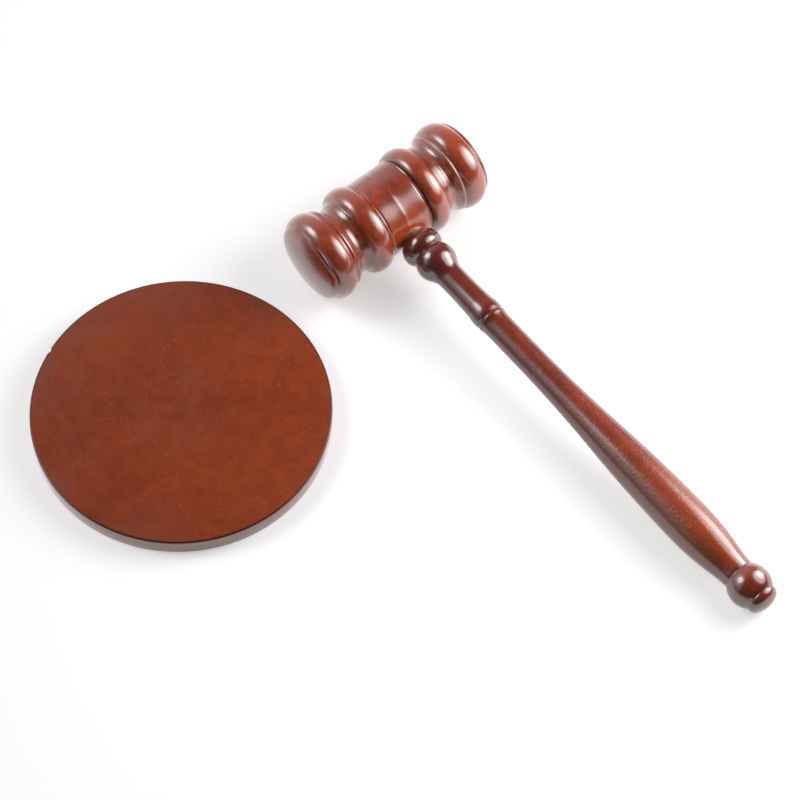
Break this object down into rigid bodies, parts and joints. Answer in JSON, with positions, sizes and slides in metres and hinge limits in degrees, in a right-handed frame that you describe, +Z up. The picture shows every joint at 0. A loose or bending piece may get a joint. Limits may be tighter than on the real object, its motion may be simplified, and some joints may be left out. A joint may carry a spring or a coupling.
{
  "type": "gavel with sound block",
  "caption": "Turned hardwood gavel with beaded domed head, round tenoned handle and ball pommel, lying beside a thin round sound block",
  "frame": {"origin": "centre of the sound block's underside, on the table", "axes": "+Z up out of the block's striking face, +X along the handle towards its pommel, +Y from the block towards the gavel's head"},
  "size_m": [0.2768, 0.2235, 0.0392],
  "materials": {
    "block_wood": "satin lacquer over red-brown stain, worn to nearly matte on the top",
    "head_wood": "satin-gloss lacquer over red-brown stain",
    "handle_wood": "glossy lacquer over red-brown stain"
  },
  "bodies": {
    "block": {"sound_block": "block_wood"},
    "gavel": {"gavel_head": "head_wood", "gavel_handle": "handle_wood"}
  },
  "joints": [
    {"name": "gavel_lift", "type": "slide", "parent": "block", "child": "gavel", "axis": [0, 0, 1], "range_m": [0, 0.15]}
  ]
}
